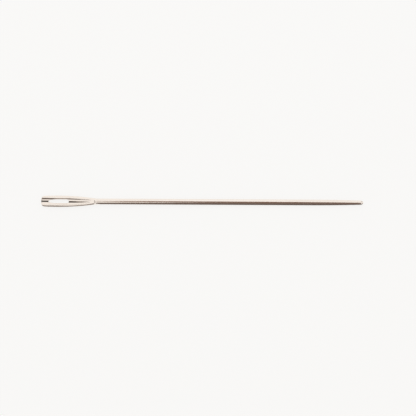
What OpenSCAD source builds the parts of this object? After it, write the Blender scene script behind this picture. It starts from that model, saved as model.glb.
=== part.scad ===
// Blunt steel yarn needle: one length of round wire, stamped flat at one end and drawn down at the other.
// It lies along X on the plane Z = 0, with the head at -X, the point at +X and the eye open along Z.
// The origin is under the middle of its length.

/* [Needle] */
// Length from the end of the head to the tip of the point
needle_l = 127; // [110:1:180]
// Diameter of the round shaft
shaft_d = 2.3; // [1.8:0.05:2.8]

/* [Head] */
// Length of the stamped head
head_l = 21.8; // [18:0.1:30]
// Width of the head where it is widest
head_w = 4.5; // [4:0.1:6]
// Thickness of the head across its two flattened faces
head_t = 1.65; // [1.5:0.05:2.2]
// Distance from the end of the head to its widest place
widest_at = 6.5; // [4:0.1:10]
// Amount that each side draws in between the widest place and the end
end_draw_in = 0.2; // [0:0.01:0.3]
// Radius of the corners of the end, seen from above
end_corner_r = 1.3; // [0.8:0.05:1.6]
// Radius of the edges of the end, seen from the side
end_edge_r = 0.35; // [0.2:0.05:0.45]
// Squareness that the dies give the head's section, where 0 is an ellipse
head_squareness = 1.2; // [0:0.1:1.5]

/* [Eye] */
// Length of the eye
eye_l = 8.1; // [5:0.1:12]
// Width of the eye
eye_w = 1.5; // [1:0.05:1.8]
// Metal between the eye and the end of the head
eye_from_end = 2.8; // [2.2:0.1:4.5]

/* [Gutters] */
// Distance from each side of the eye to the lip of the gutter round it
gutter_lip = 0.45; // [0.3:0.05:0.8]
// Width of the gutter at the end of the head
gutter_end_w = 2.8; // [1.6:0.1:3.2]
// Width of the gutter where its rounded run-out starts
gutter_runout_w = 1.6; // [1.2:0.05:2]
// Depth of the gutter from the end of the head to the eye
gutter_depth = 0.38; // [0.2:0.02:0.44]
// Depth to which the gutter has risen at its run-out
runout_depth = 0.08; // [0.02:0.02:0.2]
// Width of each sloping wall of the gutter
gutter_wall = 0.44; // [0.3:0.02:0.6]
// Plain metal between the gutter and the shaft
neck_l = 0.5; // [0.3:0.1:3]
// Width of the deeper groove along the middle of the gutter, in which the yarn lies
groove_w = 0.8; // [0.6:0.05:1]
// Width of each steep wall of the groove
groove_wall = 0.22; // [0.1:0.02:0.3]
// Distance that the groove has drifted towards -Y at the eye's inner end
groove_drift = 0.22; // [0:0.02:0.3]
// Plain gutter between the groove and the gutter's end
groove_stop = 2.9; // [2:0.1:5]
// Metal left between the grooves of the two faces
web_t = 0.5; // [0.3:0.05:0.7]

/* [Point] */
// Length over which the shaft is drawn down to the tip
point_l = 22; // [12:1:40]
// Diameter where the rounded tip starts
tip_d = 1.7; // [0.8:0.05:1.75]
// Length of the rounded tip
nose_l = 1.15; // [0.6:0.05:2]

/* [Hidden] */

head_end_x = -needle_l / 2;
shaft_x = head_end_x + head_l;
tip_x = needle_l / 2;
axis_z = max(shaft_d, head_t) / 2;
shaft_r = shaft_d / 2;
eye_inner_u = eye_from_end + eye_l;
gutter_w = eye_w + 2 * gutter_lip;
gutter_end_u = head_l - neck_l;
runout_l = gutter_runout_w / 2;
runout_u = gutter_end_u - runout_l;
groove_end_u = gutter_end_u - groove_stop;

corner_steps = 8;
body_steps = 30;
runout_steps = 6;
neck_steps = 2;
side_steps = 6;
middle_steps = 14;
taper_steps = 16;
nose_steps = 12;
round_fn = 96;
// Half the width of a section's middle past the run-out, where there is no gutter
plain_middle = 0.2;
// Most of a section's half width that its middle takes up
widest_middle = 0.9;
// Share of the gutter's wall that is rounded into its lip and its floor, the rest being straight
wall_softness = 0.3;

// Every function of u below gives a size of the head at u mm from its end.

// How far along from one place to another u is, from 0 to 1
function share(u, from, to) = min(1, max(0, (u - from) / (to - from)));

// How far a rounded corner of radius r draws a side in at u
function corner(u, r) = u < r ? r - sqrt(r ^ 2 - (r - u) ^ 2) : 0;

// Half the width: an arc to the end and a longer arc to the shaft, both flat at the widest place
function half_w(u) =
    let (to_end = 1 - share(u, 0, widest_at))
    let (to_shaft = share(u, widest_at, head_l))
    head_w / 2 - end_draw_in * to_end ^ 2 - (head_w / 2 - shaft_r) * to_shaft ^ 2 - corner(u, end_corner_r);

// Half the thickness: even along the eye, then an arc out to the round shaft
function half_t(u) = head_t / 2 + (shaft_r - head_t / 2) * share(u, eye_inner_u, head_l) ^ 2;

// Exponent of the section's rounded outline, 2 being an ellipse
function roundness(u) = 2 + head_squareness * (1 - share(u, eye_inner_u, head_l) ^ 4);

// A step from 0 to 1 that starts and ends level
function ease(t) = t ^ 2 * (3 - 2 * t);

// Half the gutter's width: it widens from the end to the eye, narrows past it and ends in a round run-out
function gutter_half_w(u) =
    let (from_end = share(u, 0, eye_from_end))
    let (past_eye = share(u, eye_inner_u, runout_u))
    let (past_runout = share(u, runout_u, gutter_end_u))
    let (w = gutter_end_w + (gutter_w - gutter_end_w) * from_end + (gutter_runout_w - gutter_w) * past_eye)
    w / 2 * sqrt(1 - past_runout ^ 2);

// Depth of the gutter's floor: even as far as the eye, then rising to the run-out
function floor_depth(u) = gutter_depth + (runout_depth - gutter_depth) * share(u, eye_inner_u, runout_u);

// How far the gutter takes the face down at y
function gutter_drop(u, y) =
    let (down_wall = share(gutter_half_w(u) - abs(y), 0, gutter_wall))
    floor_depth(u) * (down_wall * (1 - wall_softness) + ease(down_wall) * wall_softness);

// Share of the metal under the gutter's floor that the groove takes: down to the web, then less past the eye
function groove_share(u, y) =
    let (to_web = 1 - web_t / 2 / (half_t(u) - floor_depth(u)))
    let (left = 1 - share(u, eye_inner_u, groove_end_u))
    let (from_middle = abs(y + groove_drift * share(u, eye_from_end, eye_inner_u)))
    to_web * left * ease(share(groove_w / 2 - from_middle, 0, groove_wall));

// Height of the upper face at y above the needle's axis, with the edge of the end rounded off
function face_z(u, y) =
    let (across = min(1, abs(y) / half_w(u)))
    let (power = roundness(u))
    let (blank_z = (half_t(u) - corner(u, end_edge_r)) * (1 - across ^ power) ^ (1 / power))
    blank_z * (1 - gutter_drop(u, y) / half_t(u)) * (1 - groove_share(u, y));

// Places across half a section: round the side from the edge to the gutter's lip, then on to the middle
function half_ys(u) =
    let (middle = min(widest_middle * half_w(u), max(gutter_half_w(u), plain_middle)))
    let (lip_angle = acos((middle / half_w(u)) ^ (roundness(u) / 2)))
    concat(
        [for (i = [0 : side_steps - 1]) half_w(u) * cos(lip_angle * i / side_steps) ^ (2 / roundness(u))],
        [for (i = [0 : middle_steps]) middle * (1 - i / middle_steps)]
    );

// Upper half of a section, from its +Y edge over to its -Y edge
function upper_half(u) =
    let (ys = half_ys(u))
    let (last = len(ys) - 1)
    [for (i = [0 : 2 * last])
        let (y = i < last ? ys[i] : -ys[2 * last - i])
        [y, face_z(u, y)]];

// Whole section, with the lower half as the mirror image of the upper one
function section(u) =
    let (upper = upper_half(u))
    concat(upper, [for (i = [len(upper) - 2 : -1 : 1]) [upper[i][0], -upper[i][1]]]);

// Distances from the head's end at which sections are taken, closer together on rounded stretches
stations = concat(
    [for (i = [0 : corner_steps - 1]) end_corner_r * (1 - cos(90 * i / corner_steps))],
    [for (i = [0 : body_steps - 1]) end_corner_r + (runout_u - end_corner_r) * i / body_steps],
    [for (i = [0 : runout_steps - 1]) runout_u + runout_l * sin(90 * i / runout_steps)],
    [for (i = [0 : neck_steps]) gutter_end_u + (head_l - gutter_end_u) * i / neck_steps]
);

// Triangles between neighbouring sections of n points each, and a fan of them over each end
function skin(sections, n) =
    let (last = n * (sections - 1))
    let (end_middle = n * sections)
    concat(
        [for (s = [0 : sections - 2], i = [0 : n - 1])
            let (a = s * n + i, b = s * n + (i + 1) % n)
            each [[a, a + n, b], [b, a + n, b + n]]],
        [for (i = [0 : n - 1])
            let (next = (i + 1) % n)
            each [[i, next, end_middle], [last + next, last + i, end_middle + 1]]]
    );

// Head before the eye is punched, with the gutter and groove pressed into both faces
module stamped_blank() {
    n = 4 * (side_steps + middle_steps);
    rings = [for (u = stations, p = section(u)) [u, p[0], p[1]]];
    middles = [[0, 0, 0], [head_l, 0, 0]];
    polyhedron(points = concat(rings, middles), faces = skin(len(stations), n));
}

module eye_outline() {
    straight_l = eye_l - eye_w;
    translate([eye_from_end + eye_w / 2, -eye_w / 2]) square([straight_l, eye_w]);
    for (end_u = [eye_from_end + eye_w / 2, eye_inner_u - eye_w / 2])
        translate([end_u, 0]) circle(d = eye_w, $fn = round_fn);
}

// Stamped head with its eye and its gutters
module head() {
    color("gainsboro")
    translate([head_end_x, 0, axis_z])
    difference() {
        stamped_blank();
        translate([0, 0, -head_t]) linear_extrude(2 * head_t) eye_outline();
    }
}

// Half the profile of the shaft and its point, as [radius, place along the needle]
function shaft_profile() =
    let (taper_x = tip_x - point_l)
    let (slope = (shaft_d - tip_d) / (point_l - nose_l))
    let (tip_r = tip_d / 2)
    let (nose_start = atan(slope * nose_l / tip_r))
    let (nose_r = tip_r / cos(nose_start))
    let (taper_l = point_l - nose_l * (1 - sin(nose_start)))
    concat(
        [[0, shaft_x], [shaft_r, shaft_x]],
        [for (i = [0 : taper_steps])
            let (t = i / taper_steps)
            [shaft_r - (shaft_r - tip_r) * t ^ 2, taper_x + taper_l * t]],
        [for (i = [1 : nose_steps])
            let (phi = nose_start + (90 - nose_start) * i / nose_steps)
            [i < nose_steps ? nose_r * cos(phi) : 0, tip_x - nose_l * (1 - sin(phi))]]
    );

// Round shaft, drawn down to its blunt point
module shaft() {
    color("silver")
    translate([0, 0, axis_z])
    rotate([0, 90, 0])
    rotate_extrude($fn = round_fn)
    polygon(shaft_profile());
}

head();
shaft();
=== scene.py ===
# %% [markdown]
# # A steel yarn needle
# The needle is one length of nickel-plated steel wire. One end is struck flat between two dies, which also
# press a gutter into each face, and a long eye is punched through it. The other end is ground to a blunt
# point. The CAD model gives the sizes, and this file gives the needle its real surface: soft edges round
# the eye, polished plate, and the light of a small photographic table.

# %% Load the CAD model as a fixed frame
import math

import bpy
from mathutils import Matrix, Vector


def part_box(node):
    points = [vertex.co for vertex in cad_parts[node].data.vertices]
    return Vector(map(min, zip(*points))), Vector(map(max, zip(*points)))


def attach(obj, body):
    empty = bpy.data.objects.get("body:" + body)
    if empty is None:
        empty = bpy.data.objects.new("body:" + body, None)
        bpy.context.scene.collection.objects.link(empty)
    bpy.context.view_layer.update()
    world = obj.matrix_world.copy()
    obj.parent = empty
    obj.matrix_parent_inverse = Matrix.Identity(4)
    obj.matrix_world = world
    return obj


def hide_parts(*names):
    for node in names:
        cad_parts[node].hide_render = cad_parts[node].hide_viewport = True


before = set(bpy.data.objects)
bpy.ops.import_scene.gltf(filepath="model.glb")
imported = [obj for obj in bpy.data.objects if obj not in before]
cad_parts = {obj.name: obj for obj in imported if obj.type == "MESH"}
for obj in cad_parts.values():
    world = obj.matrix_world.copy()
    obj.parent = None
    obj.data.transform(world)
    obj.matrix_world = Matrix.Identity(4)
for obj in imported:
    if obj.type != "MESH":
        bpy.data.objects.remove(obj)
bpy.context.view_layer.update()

# %% [markdown]
# ## Sizes
# The lengths and widths that the CAD model already holds are read from its nodes, so the needle can't drift
# away from it. The sizes of the eye and of the gutters can't be read from a box, so they are named here once
# more. Most of them are those of the part's own source. Some are finer than its solids are: the soft edges,
# the eye's slimmer outer end, and the way in which the gutter and its groove deepen, drift and run out.
# Distances along the needle are taken from the head's end.

# %% Sizes of the needle, in metres
mm = 0.001
head_low, head_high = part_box("head")
shaft_low, shaft_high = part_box("shaft")
needle_l = shaft_high.x - head_low.x
shaft_d = shaft_high.z - shaft_low.z
head_l = head_high.x - head_low.x
head_w = head_high.y - head_low.y
axis_z = (shaft_high.z + shaft_low.z) / 2

sizes = {
    "Needle Length": needle_l,
    "Wire Diameter": shaft_d,
    # Head
    "Head Length": head_l,
    "Head Width": head_w,
    "Head Thickness": 1.65 * mm,
    "Widest At": 6.5 * mm,
    "End Draw In": 0.2 * mm,
    "End Corner": 1.3 * mm,
    "End Edge": 0.45 * mm,
    # Eye
    "Eye From End": 2.8 * mm,
    "Eye Length": 8.1 * mm,
    "Eye Width": 1.5 * mm,
    "Eye Taper": 3.4 * mm,
    "Eye Rim": 0.1 * mm,
    # Gutter
    "Gutter Lip": 0.45 * mm,
    "Gutter End Width": 2.95 * mm,
    "Gutter Run-out Width": 1.6 * mm,
    "Gutter End Depth": 0.5 * mm,
    "Gutter Depth": 0.38 * mm,
    "Run-out Depth": 0.1 * mm,
    "Gutter Wall": 0.44 * mm,
    "Gutter End Wall": 0.75 * mm,
    "Run-out Wall": 0.5 * mm,
    "Neck Length": 0.3 * mm,
    # Groove along the gutter
    "Groove Width": 0.72 * mm,
    "Groove Wall": 0.22 * mm,
    "Groove Stop": 2.2 * mm,
    "Groove Drift": 0.38 * mm,
    "Web": 0.5 * mm,
    # Point
    "Point Length": 22.0 * mm,
    "Tip Diameter": 1.7 * mm,
    "Nose Length": 1.15 * mm,
}
print(f"needle {needle_l / mm:.1f} mm long, wire {shaft_d / mm:.2f} mm, "
      f"head {head_l / mm:.1f} x {head_w / mm:.2f} mm")

# %% [markdown]
# ## Arithmetic inside a node tree
# The needle's shape follows a rule: at each distance from its end, its section has a width, a thickness and
# a gutter that a short formula gives. Geometry Nodes can hold such formulas, but drawn as single Math nodes
# they are hard to read. A small class that stands for a number in the tree lets each formula be written as
# ordinary arithmetic, and adds the Math nodes itself.

# %% A number in the tree
needle_tree = bpy.data.node_groups.new("struck_needle", "GeometryNodeTree")


def math_node(operation, *values, clamp=False):
    node = needle_tree.nodes.new("ShaderNodeMath")
    node.operation = operation
    node.use_clamp = clamp
    for socket, value in zip(node.inputs, values):
        if isinstance(value, Number):
            needle_tree.links.new(value.socket, socket)
        else:
            socket.default_value = value
    return Number(node.outputs[0])


class Number:
    """A number that the tree works out."""

    def __init__(self, socket):
        self.socket = socket

    def __add__(self, other):
        return math_node("ADD", self, other)

    def __sub__(self, other):
        return math_node("SUBTRACT", self, other)

    def __rsub__(self, other):
        return math_node("SUBTRACT", other, self)

    def __mul__(self, other):
        return math_node("MULTIPLY", self, other)

    def __truediv__(self, other):
        return math_node("DIVIDE", self, other)

    def __rtruediv__(self, other):
        return math_node("DIVIDE", other, self)

    def __pow__(self, other):
        return math_node("POWER", self, other)

    __radd__ = __add__
    __rmul__ = __mul__


print("tree:", needle_tree.name)


# %% Curves that the formulas share
def share(value, start, end):
    """How far value is on its way from start to end, from 0 to 1."""
    return math_node("DIVIDE", value - start, end - start, clamp=True)


def ease(t):
    """A step from 0 to 1 that starts and ends level."""
    return t * t * (3.0 - 2.0 * t)


def rounded(t, power):
    """The height of a rounded edge, which rises from 0 at t = 0 and is level at t = 1."""
    return (1.0 - (1.0 - t) ** power) ** (1.0 / power)


def above_zero(value):
    return math_node("MAXIMUM", value, 0.0)


print("shared curves: share, ease, rounded, above_zero")

# %% [markdown]
# ## Named inputs
# Each size becomes an input of the tree with its own name. The sums that several formulas share, such as
# where the eye starts and ends, come straight after.

# %% Inputs of the tree
for name in sizes:
    needle_tree.interface.new_socket(name, in_out="INPUT", socket_type="NodeSocketFloat")
needle_tree.interface.new_socket("Finish", in_out="INPUT", socket_type="NodeSocketMaterial")
needle_tree.interface.new_socket("Needle", in_out="OUTPUT", socket_type="NodeSocketGeometry")

tree_input = needle_tree.nodes.new("NodeGroupInput")
size = {name: Number(tree_input.outputs[name]) for name in sizes}

wire_r = size["Wire Diameter"] / 2.0
eye_r = size["Eye Width"] / 2.0
eye_start = size["Eye From End"]
eye_end = eye_start + size["Eye Length"]
taper_end = eye_start + size["Eye Taper"]
gutter_end = size["Head Length"] - size["Neck Length"]
runout_start = gutter_end - size["Gutter Run-out Width"] / 2.0
groove_end = gutter_end - size["Groove Stop"]
point_start = size["Needle Length"] - size["Point Length"]
nose_start = size["Needle Length"] - size["Nose Length"]
print("tree inputs and outputs:", len(needle_tree.interface.items_tree))

# %% [markdown]
# ## A grid for each stretch
# The surface starts as one quarter: the upper face from the middle of the needle out to its +Y side. It is
# woven from flat grids, one for each stretch of the length. A column of a grid becomes one cross-section.
# Columns stand closer together where the outline turns fast, such as at both ends of the eye, and further
# apart along the plain shaft. A grid that ends exactly where the eye ends lets the hole close cleanly, which
# a cut made later with a Boolean wouldn't do so smoothly. Where the head meets the shaft, a narrow stretch
# keeps the crease between them sharp.


# %% Geometry that passes from node to node
def chain(kind, geometry, **inputs):
    """A node that the geometry goes through, with plain values on its other inputs."""
    node = needle_tree.nodes.new(kind)
    needle_tree.links.new(geometry, node.inputs[0])
    for name, value in inputs.items():
        node.inputs[name].default_value = value
    return node


def store(geometry, name, value):
    """The geometry with a number kept under a name at each of its points."""
    node = chain("GeometryNodeStoreNamedAttribute", geometry, Name=name)
    node.data_type = "FLOAT"
    node.domain = "POINT"
    needle_tree.links.new(value.socket, node.inputs["Value"])
    return node.outputs[0]


def stored(name):
    node = needle_tree.nodes.new("GeometryNodeInputNamedAttribute")
    node.data_type = "FLOAT"
    node.inputs["Name"].default_value = name
    return Number(node.outputs["Attribute"])


def point_place():
    """The three coordinates of each point."""
    place = needle_tree.nodes.new("ShaderNodeSeparateXYZ")
    position = needle_tree.nodes.new("GeometryNodeInputPosition")
    needle_tree.links.new(position.outputs[0], place.inputs[0])
    return [Number(place.outputs[name]) for name in "XYZ"]


print("passing nodes: chain, store, stored, point_place")

# %% Spacing of the cross-sections
quarter_turn = math.pi / 2


def even(s):
    return s


def close_at_start(s):
    return 1.0 - math_node("COSINE", s * quarter_turn)


def close_at_end(s):
    return math_node("SINE", s * quarter_turn)


crease = 0.15 * mm
shaft_start = size["Head Length"] + crease
stretches = [
    (0.0, size["End Corner"], 16, close_at_start),
    (size["End Corner"], eye_start - size["Eye Rim"], 6, even),
    (eye_start - size["Eye Rim"], eye_start, 7, close_at_end),
    (eye_start, taper_end, 20, close_at_start),
    (taper_end, eye_end - eye_r, 14, even),
    (eye_end - eye_r, eye_end, 10, close_at_end),
    (eye_end, eye_end + size["Eye Rim"], 7, close_at_start),
    (eye_end + size["Eye Rim"], runout_start, 32, even),
    (runout_start, gutter_end, 9, close_at_end),
    (gutter_end, size["Head Length"], 10, even),
    (size["Head Length"], shaft_start, 1, even),
    (shaft_start, point_start, 24, even),
    (point_start, nose_start, 16, even),
    (nose_start, size["Needle Length"], 12, close_at_end),
]
print("cross-sections:", sum(columns for _, _, columns, _ in stretches) + 1)

# %% Weave the stretches
across_steps = 40
grid_size = 1.0

joined = needle_tree.nodes.new("GeometryNodeJoinGeometry")
for start, end, columns, spacing in stretches:
    grid = needle_tree.nodes.new("GeometryNodeMeshGrid")
    grid.inputs["Size X"].default_value = grid_size
    grid.inputs["Size Y"].default_value = grid_size
    grid.inputs["Vertices X"].default_value = columns + 1
    grid.inputs["Vertices Y"].default_value = across_steps + 1
    grid_x, grid_y, _ = point_place()
    along = grid_x + grid_size / 2
    across = grid_y + grid_size / 2
    woven = store(grid.outputs["Mesh"], "from_end", start + (end - start) * spacing(along))
    woven = store(woven, "across", across)
    needle_tree.links.new(woven, joined.inputs[0])

# u is the distance from the head's end, and t runs from 0 in the middle of a section to 1 at its side
u = stored("from_end")
t = stored("across")
print("grids:", len(stretches), "with", across_steps, "steps across")

# %% [markdown]
# ## Outline of the needle
# Seen from above, the head's sides are two shallow arcs: one from the widest place to the end, and a longer
# one to the shaft. The end's corners are round. Seen from the side, the head is even along the eye and then
# swells to the full wire, and its end is rounded off. The point is drawn down along one more arc to a
# rounded nose. Each of these is one term of a sum, so a size can be changed without redrawing a curve.

# %% Half the width and half the thickness of a section
end_edge_power = 2.5

corner_left = above_zero(size["End Corner"] - u)
corner = size["End Corner"] - (size["End Corner"] ** 2.0 - corner_left ** 2.0) ** 0.5
drawn_down = (wire_r - size["Tip Diameter"] / 2.0) * (
    above_zero(u - point_start) / (nose_start - point_start)
) ** 2.0
nose = (1.0 - share(u, nose_start, size["Needle Length"]) ** 2.0) ** 0.5

half_w = (
    size["Head Width"] / 2.0
    - size["End Draw In"] * (1.0 - share(u, 0.0, size["Widest At"])) ** 2.0
    - (size["Head Width"] / 2.0 - wire_r) * share(u, size["Widest At"], size["Head Length"]) ** 2.0
    - corner
    - drawn_down
) * nose

to_shaft = share(u, eye_end, size["Head Length"])
head_half_t = size["Head Thickness"] / 2.0
blank_half_t = head_half_t + (wire_r - head_half_t) * to_shaft ** 2.0
end_edge = rounded(share(u, 0.0, size["End Edge"]), end_edge_power)
half_t = (blank_half_t - drawn_down) * nose * end_edge
print("nodes after the outline:", len(needle_tree.nodes))

# %% [markdown]
# ## Across a section
# The wire's round section turns squarer where the dies have struck it. An angle runs from the middle, or
# from the eye's edge where there is an eye, out to the side. Sines and cosines of it, raised to a power,
# give both places on such a rounded square. Steps are smaller near the middle of the head, where the gutter
# and the eye's rim need them. The eye ends in a half circle towards the shaft, and in a longer half ellipse
# towards the head's end, because the punch is slimmer there.

# %% Place across the section and height of the blank
squareness = 1.2
power = 2.0 + squareness * (1.0 - to_shaft ** 4.0)

in_taper = 1.0 - share(u, eye_start, taper_end)
before_eye = above_zero(eye_start - u)
past_straight = in_taper * eye_r + before_eye + above_zero(u - (eye_end - eye_r))
eye_half_w = above_zero(eye_r ** 2.0 - past_straight ** 2.0) ** 0.5

head_left = 1.0 - to_shaft ** 2.0
eye_angle = math_node("ARCSINE", (eye_half_w / half_w) ** (power / 2.0))
angle = eye_angle + (quarter_turn - eye_angle) * (t - head_left * t * (1.0 - t))
sine = above_zero(math_node("SINE", angle))
cosine = above_zero(math_node("COSINE", angle))
y = half_w * sine ** (2.0 / power)
blank_z = half_t * cosine ** (2.0 / power)
print("nodes after the blank:", len(needle_tree.nodes))

# %% [markdown]
# ## Gutter and eye
# The dies press a gutter along the middle of each face. It is deepest and widest at the head's end, with a
# gentle wall there, and ends past the eye in a shallow rounded run-out. Tumbling and polishing leave the
# punched eye with a soft rim, so that it doesn't cut the yarn. Both are worked out as a drop of the face at
# each place, which keeps the mesh one even skin.

# %% What is pressed and punched away
wall_softness = 0.3
rim_power = 2.0
touching = 1e-8

to_eye = share(u, 0.0, taper_end)
past_eye = share(u, eye_end, runout_start)
past_runout = share(u, runout_start, gutter_end)
gutter_w = size["Eye Width"] + size["Gutter Lip"] * 2.0
gutter_half_w = (
    size["Gutter End Width"]
    + (gutter_w - size["Gutter End Width"]) * to_eye
    + (size["Gutter Run-out Width"] - gutter_w) * past_eye
) / 2.0 * (1.0 - past_runout ** 2.0) ** 0.5
gutter_depth = (
    size["Gutter End Depth"]
    - (size["Gutter End Depth"] - size["Gutter Depth"]) * to_eye
    - (size["Gutter Depth"] - size["Run-out Depth"]) * past_eye
)
wall_w = size["Gutter End Wall"] + (size["Gutter Wall"] - size["Gutter End Wall"]) * to_eye
down_wall = share(gutter_half_w - y, 0.0, wall_w) * share(gutter_end - u, 0.0, size["Run-out Wall"])
gutter_drop = gutter_depth * (down_wall * (1.0 - wall_softness) + ease(down_wall) * wall_softness)

from_eye = (past_straight ** 2.0 + y ** 2.0) ** 0.5 - eye_r - touching
rim = rounded(share(from_eye, 0.0, size["Eye Rim"]), rim_power)
z = blank_z * (1.0 - gutter_drop / blank_half_t) * rim
print("nodes after the gutter:", len(needle_tree.nodes))

# %% [markdown]
# ## Put the face together
# Set Position moves the flat grids to the places worked out above. The quarter is then mirrored to the other
# side of the face, with its faces turned back the right way round. Only after that is the groove pressed,
# because it isn't in the middle: it drifts a little towards one side on its way to the shaft.


# %% Place the quarter and mirror it across
def mirror(geometry, scale):
    """The geometry joined to its mirror image, whose faces are turned back the right way round."""
    mirrored = chain("GeometryNodeTransform", geometry, Scale=scale)
    turned = chain("GeometryNodeFlipFaces", mirrored.outputs[0])
    both = chain("GeometryNodeJoinGeometry", geometry)
    needle_tree.links.new(turned.outputs[0], both.inputs[0])
    return both.outputs[0]


def move_to(geometry, x_value, y_value, z_value):
    new_place = needle_tree.nodes.new("ShaderNodeCombineXYZ")
    for axis_name, value in (("X", x_value), ("Y", y_value), ("Z", z_value)):
        needle_tree.links.new(value.socket, new_place.inputs[axis_name])
    placed = chain("GeometryNodeSetPosition", geometry)
    needle_tree.links.new(new_place.outputs[0], placed.inputs["Position"])
    return placed.outputs[0]


quarter = move_to(joined.outputs[0], u - size["Needle Length"] / 2.0, y, z)
face = mirror(quarter, (1, -1, 1))
print("nodes after the face:", len(needle_tree.nodes))

# %% [markdown]
# ## Groove
# The yarn lies in a deeper groove along the gutter. It goes down to the web of metal that is left between
# the two faces, and past the eye it fades out towards the shaft. How much of it is left at each point is
# stored as well, so that the finish can paint shade into its bottom and make it rougher there.

# %% Press the groove
face_x, face_y, face_z = point_place()
from_groove = math_node("ABSOLUTE", face_y + size["Groove Drift"] * share(u, 0.0, groove_end))
groove_left = 1.0 - share(u, eye_end, groove_end)
groove_reach = ease(share(size["Groove Width"] / 2.0 - from_groove, 0.0, size["Groove Wall"]))
floor_half_t = blank_half_t - gutter_depth
groove_share = (1.0 - size["Web"] / 2.0 / floor_half_t) * groove_left * groove_reach

marked = store(face, "groove", groove_left * groove_reach)
grooved = move_to(marked, face_x, face_y, face_z * (1.0 - groove_share))
print("nodes after the groove:", len(needle_tree.nodes))

# %% [markdown]
# ## Finish the tree
# Both faces of the head are struck between equal dies, so the lower one is the mirror image of the upper
# one. The seams are merged, which leaves one closed skin with the eye as its only hole.

# %% Mirror, merge and smooth
seam = 0.002 * mm

merged = chain("GeometryNodeMergeByDistance", mirror(grooved, (1, 1, -1)), Distance=seam)
raised = chain("GeometryNodeTransform", merged.outputs[0], Translation=(0, 0, axis_z))
smooth = chain("GeometryNodeSetShadeSmooth", raised.outputs[0])
realized = chain("GeometryNodeRealizeInstances", smooth.outputs[0])
painted = chain("GeometryNodeSetMaterial", realized.outputs[0])
needle_tree.links.new(tree_input.outputs["Finish"], painted.inputs["Material"])
tree_output = needle_tree.nodes.new("NodeGroupOutput")
needle_tree.links.new(painted.outputs[0], tree_output.inputs["Needle"])
print("nodes in the tree:", len(needle_tree.nodes))

# %% [markdown]
# ## Nickel plate
# Polished nickel is a mirror with a warm grey tint. Pure mirrors look like renderings, though: real plate
# keeps the fine lengthwise lines of the drawn wire and the cloudiness of tumbling. Noise stretched along the
# needle gives both, as small changes of tint and roughness and as a very shallow bump. The bottom of the
# groove has painted shade: its colour is made dark there, and it is also rougher.

# %% Nodes for the finish
nickel = bpy.data.materials.new("nickel_plate")
nickel.use_nodes = True
nodes, links = nickel.node_tree.nodes, nickel.node_tree.links
nodes.clear()
shader = nodes.new("ShaderNodeBsdfPrincipled")
shader.inputs["Metallic"].default_value = 1.0
output = nodes.new("ShaderNodeOutputMaterial")
links.new(shader.outputs[0], output.inputs["Surface"])
coordinates = nodes.new("ShaderNodeTexCoord")


def noise(stretch, detail, name):
    """Noise whose grains are 1 / stretch metres long along each axis."""
    mapping = nodes.new("ShaderNodeMapping")
    mapping.inputs["Scale"].default_value = stretch
    links.new(coordinates.outputs["Object"], mapping.inputs["Vector"])
    texture = nodes.new("ShaderNodeTexNoise")
    texture.name = name
    texture.inputs["Scale"].default_value = 1.0
    texture.inputs["Detail"].default_value = detail
    links.new(mapping.outputs[0], texture.inputs["Vector"])
    return texture.outputs[0]


def map_range(value, low, high, to_low, to_high):
    node = nodes.new("ShaderNodeMapRange")
    for name, number in (("From Min", low), ("From Max", high), ("To Min", to_low), ("To Max", to_high)):
        node.inputs[name].default_value = number
    links.new(value, node.inputs["Value"])
    return node.outputs[0]


def mix_colour(factor, first, second):
    node = nodes.new("ShaderNodeMix")
    node.data_type = "RGBA"
    links.new(factor, node.inputs["Factor"])
    for name, colour in (("A", first), ("B", second)):
        socket = next(s for s in node.inputs if s.name == name and s.type == "RGBA")
        if isinstance(colour, tuple):
            socket.default_value = colour
        else:
            links.new(colour, socket)
    return next(s for s in node.outputs if s.type == "RGBA")


print("finish:", nickel.name)

# %% Tint, painted groove shade, polish and drawn lines
bright_nickel = (0.96, 0.875, 0.80, 1.0)
clouded_nickel = (0.93, 0.845, 0.77, 1.0)
# Painted shade: a near-black colour laid into the bottom of the groove
groove_painted_shade = (0.06, 0.05, 0.045, 1.0)
smoothest, roughest = 0.10, 0.18
groove_roughness = 0.3
line_depth = 0.004 * mm
line_strength = 0.25

drawn_lines = noise((150, 9000, 9000), 3.0, "drawn_lines")
clouds = noise((90, 700, 700), 4.0, "tumbled_clouds")
groove_attribute = nodes.new("ShaderNodeAttribute")
groove_attribute.attribute_name = "groove"

plate = mix_colour(map_range(clouds, 0.35, 0.65, 0.0, 1.0), bright_nickel, clouded_nickel)
# How far the groove's painted shade and its extra roughness reach at each point
groove_shade_and_roughness = map_range(groove_attribute.outputs["Fac"], 0.1, 0.8, 0.0, 1.0)
links.new(mix_colour(groove_shade_and_roughness, plate, groove_painted_shade), shader.inputs["Base Color"])

roughness = nodes.new("ShaderNodeMath")
roughness.operation = "ADD"
links.new(map_range(drawn_lines, 0.3, 0.7, smoothest, roughest), roughness.inputs[0])
links.new(map_range(groove_shade_and_roughness, 0.0, 1.0, 0.0, groove_roughness), roughness.inputs[1])
links.new(roughness.outputs[0], shader.inputs["Roughness"])

bump = nodes.new("ShaderNodeBump")
bump.inputs["Strength"].default_value = line_strength
bump.inputs["Distance"].default_value = line_depth
links.new(drawn_lines, bump.inputs["Height"])
links.new(bump.outputs[0], shader.inputs["Normal"])
print("nodes in the finish:", len(nodes))

# %% [markdown]
# ## Make the needle
# The tree runs on an empty mesh. Its inputs are set by their identifiers before the object is first
# evaluated. The result is taken as a plain mesh, and the modifier goes. The two helper attributes of the
# weave have done their work and go as well, and only the groove's stays for the finish.

# %% Run the tree and keep its mesh
blank = bpy.data.objects.new("needle_blank", bpy.data.meshes.new("needle_blank"))
bpy.context.scene.collection.objects.link(blank)
striking = blank.modifiers.new("striking", "NODES")
striking.node_group = needle_tree
for item in needle_tree.interface.items_tree:
    if item.in_out == "INPUT":
        striking[item.identifier] = nickel if item.name == "Finish" else sizes[item.name]

bpy.context.view_layer.update()
evaluated = blank.evaluated_get(bpy.context.evaluated_depsgraph_get())
needle_mesh = bpy.data.meshes.new_from_object(evaluated)
needle_mesh.name = "yarn_needle"
bpy.data.objects.remove(blank)

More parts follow.
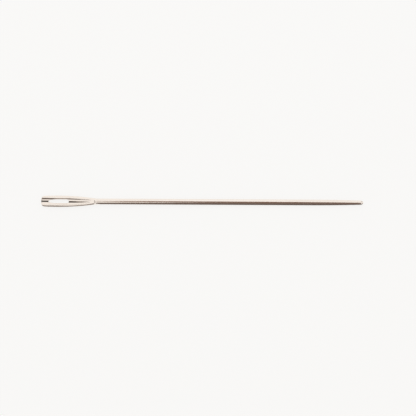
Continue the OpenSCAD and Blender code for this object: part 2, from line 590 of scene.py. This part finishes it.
needle = bpy.data.objects.new("yarn_needle", needle_mesh)
bpy.context.scene.collection.objects.link(needle)
for name in ("from_end", "across"):
    needle_mesh.attributes.remove(needle_mesh.attributes[name])
print("needle:", len(needle_mesh.vertices), "vertices,", len(needle_mesh.polygons), "faces")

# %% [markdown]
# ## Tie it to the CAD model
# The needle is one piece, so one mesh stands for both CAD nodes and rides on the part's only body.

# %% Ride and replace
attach(needle, "root")
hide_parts("head", "shaft")
print("tied to the CAD model:", needle.name)

# %% [markdown]
# ## Camera
# The photograph looks straight down on the needle, which lies across the middle of the frame and a little
# above and left of its centre, turned by a fraction of a degree. A long lens keeps both ends in true
# proportion. The scale follows from the needle's own length and the number of pixels that it covers.

# %% Camera straight above
image_px = 416
needle_px = 322.1
m_per_px = needle_l / needle_px
needle_middle_px = (202.25, 202.0)
turn = math.radians(0.27)
lens_mm = 100
sensor_mm = 36

camera = bpy.data.objects.new("camera", bpy.data.cameras.new("camera"))
bpy.context.scene.collection.objects.link(camera)
bpy.context.scene.camera = camera
camera.data.lens = lens_mm
camera.data.sensor_width = sensor_mm
camera.data.clip_start = 0.01
camera.data.clip_end = 20
view_w = image_px * m_per_px
camera_height = view_w * lens_mm / sensor_mm
camera.location = (
    (image_px / 2 - needle_middle_px[0]) * m_per_px,
    (needle_middle_px[1] - image_px / 2) * m_per_px,
    axis_z + camera_height,
)
camera.rotation_euler = (0, 0, turn)
print(f"view {view_w / mm:.1f} mm wide from {camera_height / mm:.1f} mm")

# %% [markdown]
# ## Paper table
# The table is off-white paper. Under soft light alone it would come out greyer than it is in the photograph,
# so the camera and reflections see the paper's own colour at full strength instead. A share of ordinary
# shading is left in it, and that keeps the needle's faint shadow.

# %% Two looks for one surface
paper_colour = (0.955, 0.948, 0.935, 1.0)


def seen_directly(tree):
    """1 for the camera, for reflections and for glass, and 0 for light that only spreads."""
    path = tree.nodes.new("ShaderNodeLightPath")
    total = path.outputs["Is Camera Ray"]
    for name in ("Is Glossy Ray", "Is Transmission Ray"):
        add = tree.nodes.new("ShaderNodeMath")
        add.operation = "ADD"
        add.use_clamp = True
        tree.links.new(total, add.inputs[0])
        tree.links.new(path.outputs[name], add.inputs[1])
        total = add.outputs[0]
    return total


def surface_node(tree, kind, colour, strength=None):
    node = tree.nodes.new(kind)
    node.inputs["Color"].default_value = colour
    if strength is not None:
        node.inputs["Strength"].default_value = strength
    return node


def mix_looks(tree, factor, spread, seen, output_kind):
    """Show one look to spreading light and the other to the eye."""
    mix = tree.nodes.new("ShaderNodeMixShader")
    for value, socket in zip((factor, spread.outputs[0], seen.outputs[0]), mix.inputs):
        tree.links.new(value, socket)
    out = tree.nodes.new(output_kind)
    tree.links.new(mix.outputs[0], out.inputs["Surface"])


print("paper colour:", paper_colour[:3])

# %% Lay the table
table_reach = 3
shadow_share = 0.15


def plane(name, corners):
    mesh = bpy.data.meshes.new(name)
    mesh.from_pydata(corners, [], [tuple(range(len(corners)))])
    obj = bpy.data.objects.new(name, mesh)
    bpy.context.scene.collection.objects.link(obj)
    return obj


def level(z, *corners):
    return [(x, y, z) for x, y in corners]


table = plane("table", level(
    0,
    (-table_reach, -table_reach), (table_reach, -table_reach),
    (table_reach, table_reach), (-table_reach, table_reach),
))
paper = bpy.data.materials.new("paper")
paper.use_nodes = True
paper_tree = paper.node_tree
paper_tree.nodes.clear()
glow_share = paper_tree.nodes.new("ShaderNodeMath")
glow_share.operation = "MULTIPLY"
glow_share.inputs[1].default_value = 1.0 - shadow_share
paper_tree.links.new(seen_directly(paper_tree), glow_share.inputs[0])
mix_looks(
    paper_tree,
    glow_share.outputs[0],
    surface_node(paper_tree, "ShaderNodeBsdfDiffuse", paper_colour),
    surface_node(paper_tree, "ShaderNodeEmission", paper_colour, 1.0),
    "ShaderNodeOutputMaterial",
)
table.data.materials.append(paper)
print(f"table {2 * table_reach} m wide, with {shadow_share:.0%} of ordinary shading")

# %% [markdown]
# ## White tent
# A tent of white cloth round the table gives the soft light that has no direction, and the upper side of
# the wire reflects it. The world stands for the tent. As with the table, what is seen of it is the paper's
# colour, and the light that it gives is set on its own.

# %% Raise the tent
tent_light = 0.75

tent = bpy.data.worlds.new("tent")
tent.use_nodes = True
bpy.context.scene.world = tent
tent_tree = tent.node_tree
tent_tree.nodes.clear()
mix_looks(
    tent_tree,
    seen_directly(tent_tree),
    surface_node(tent_tree, "ShaderNodeBackground", (1.0, 1.0, 1.0, 1.0), tent_light),
    surface_node(tent_tree, "ShaderNodeBackground", paper_colour, 1.0),
    "ShaderNodeOutputWorld",
)
print("tent light:", tent_light)

# %% [markdown]
# ## Cards
# Polished wire shows only what is round it. In a white tent it would vanish against the white table, so a
# photographer puts dark, brown and grey cards where the wire reflects them, and so does this scene. Only
# reflections see the cards. Emission of a plain colour is enough for them, because a real card would be lit
# evenly by the tent.

# %% A card that only reflections see
dark = (0.135, 0.105, 0.095)
brown = (0.235, 0.145, 0.11)
dark_brown = (0.18, 0.132, 0.112)
grey = (0.62, 0.57, 0.53)
pale_grey = (0.5, 0.48, 0.46)
white = (1.0, 1.0, 1.0)


def card(name, corners, colour):
    obj = plane(name, corners)
    material = bpy.data.materials.new(name)
    material.use_nodes = True
    tree = material.node_tree
    tree.nodes.clear()
    glow = surface_node(tree, "ShaderNodeEmission", (*colour, 1.0), 1.0)
    out = tree.nodes.new("ShaderNodeOutputMaterial")
    tree.links.new(glow.outputs[0], out.inputs["Surface"])
    obj.data.materials.append(material)
    for kind in ("camera", "diffuse", "transmission", "volume_scatter", "shadow"):
        setattr(obj, "visible_" + kind, False)
    return obj


def standing(x_from, x_to, y, height):
    return [(x_from, y, 0), (x_to, y, 0), (x_to, y, height), (x_from, y, height)]


print("card colours: dark, brown, dark brown, grey, pale grey, white")

# %% [markdown]
# ## Cards in front
# One dark card lies on the table with its edge beside the wire, and another stands further in front.
# Together they give the dark line along the wire's lower side. The standing one also gives the dark line on
# the gutter's far wall. The lying one keeps clear of the head, whose lower edge is paler. The standing one
# and the pale grey card overhead reach far past the head's end. When both were cut short, the needle turned
# pale in two of the side views.

# %% Dark cards beside the wire
just_above_table = 0.0002
table_card_outline = level(
    just_above_table,
    (-0.4, -0.4), (0.4, -0.4), (0.4, -0.0026), (0.07, -0.0016),
    (-0.0402, -0.0026), (-0.0418, -0.006), (-0.4, -0.006),
)
front_cards = [
    card("table_card", table_card_outline, dark),
    card("side_card", standing(-0.6, 0.19, -0.4, 0.27), dark),
]
print("front cards:", len(front_cards))

# %% [markdown]
# ## Cards overhead
# The wire's crest looks straight up, where the camera is. The brown card round the lens gives its brown
# line, the dark brown one the band between that and the dark lower line, towards the point, and the white
# one a faint highlight. The grey card keeps the first stretch of the shaft greyer. The pale grey one shades
# the head, and shows the step at the neck as a short dark mark. The far dark card gives the wire a second
# dark line in views from the side. The layers hang a centimetre apart, so that the lower cards cover the
# upper ones.

# %% Cards round the lens
top_layer, camera_layer, ceiling_layer, white_layer = 0.45, 0.46, 0.47, 0.48

overhead = {
    "top_card": (dark_brown, top_layer, (
        (-0.07, -0.78), (0.3, -0.78), (0.3, -0.05), (0.0, -0.05), (-0.07, -0.48),
    )),
    "far_top_card": (dark, top_layer, (
        (0.5, -0.78), (1.0, -0.78), (1.0, -0.11), (0.5, -0.11),
    )),
    "camera_card": (brown, camera_layer, (
        (-0.069, -0.11), (0.17, -0.11), (0.17, -0.02), (0.116, 0.08), (0.06, 0.17), (0.0, 0.2), (-0.069, 0.2),
    )),
    "ceiling_card": (grey, ceiling_layer, (
        (-0.118, -0.85), (-0.05, -0.85), (-0.05, 0.16), (-0.088, 0.16), (-0.088, -0.6), (-0.118, -0.6),
    )),
    "left_card": (pale_grey, ceiling_layer, (
        (-0.9, -0.85), (-0.118, -0.85), (-0.118, -0.17), (-0.22, -0.17), (-0.22, 0.16), (-0.9, 0.16),
    )),
    "white_card": (white, white_layer, (
        (-0.06, 0.2), (0.1, 0.16), (0.1, 2.0), (-0.06, 2.0),
    )),
}
for name, (colour, height, corners) in overhead.items():
    card(name, level(height, *corners), colour)
print("overhead cards:", len(overhead))

# %% [markdown]
# ## Cards behind and at the neck
# Views from the back need something dark to reflect as well, so one more card stands behind the table. A
# narrow slip of white paper in front of the neck makes the bright spot there.

# %% Back card and neck slip
far_cards = [
    card("back_card", standing(0.35, 1.5, 0.6, 0.4), dark),
    card("neck_slip", standing(-0.0424, -0.0418, -0.0035, 0.005), white),
]
print("stage pieces: table and", len(front_cards) + len(overhead) + len(far_cards), "cards")

# %% [markdown]
# ## Lamp
# One large soft lamp above and behind the needle gives the table its gentle shadow. Reflections don't see
# it, because the tent hides a real one.

# %% Soft lamp
lamp = bpy.data.objects.new("soft_lamp", bpy.data.lights.new("soft_lamp", "AREA"))
bpy.context.scene.collection.objects.link(lamp)
lamp.data.shape = "RECTANGLE"
lamp.data.size = 0.8
lamp.data.size_y = 0.5
lamp.data.energy = 1.4
lamp.location = (0, 0.35, 0.6)
lamp.rotation_euler = (math.radians(-30), 0, 0)
lamp.visible_glossy = False
bpy.context.scene.view_settings.view_transform = "Standard"
print(f"lamp {lamp.data.size} x {lamp.data.size_y} m, {lamp.data.energy:.1f} W")
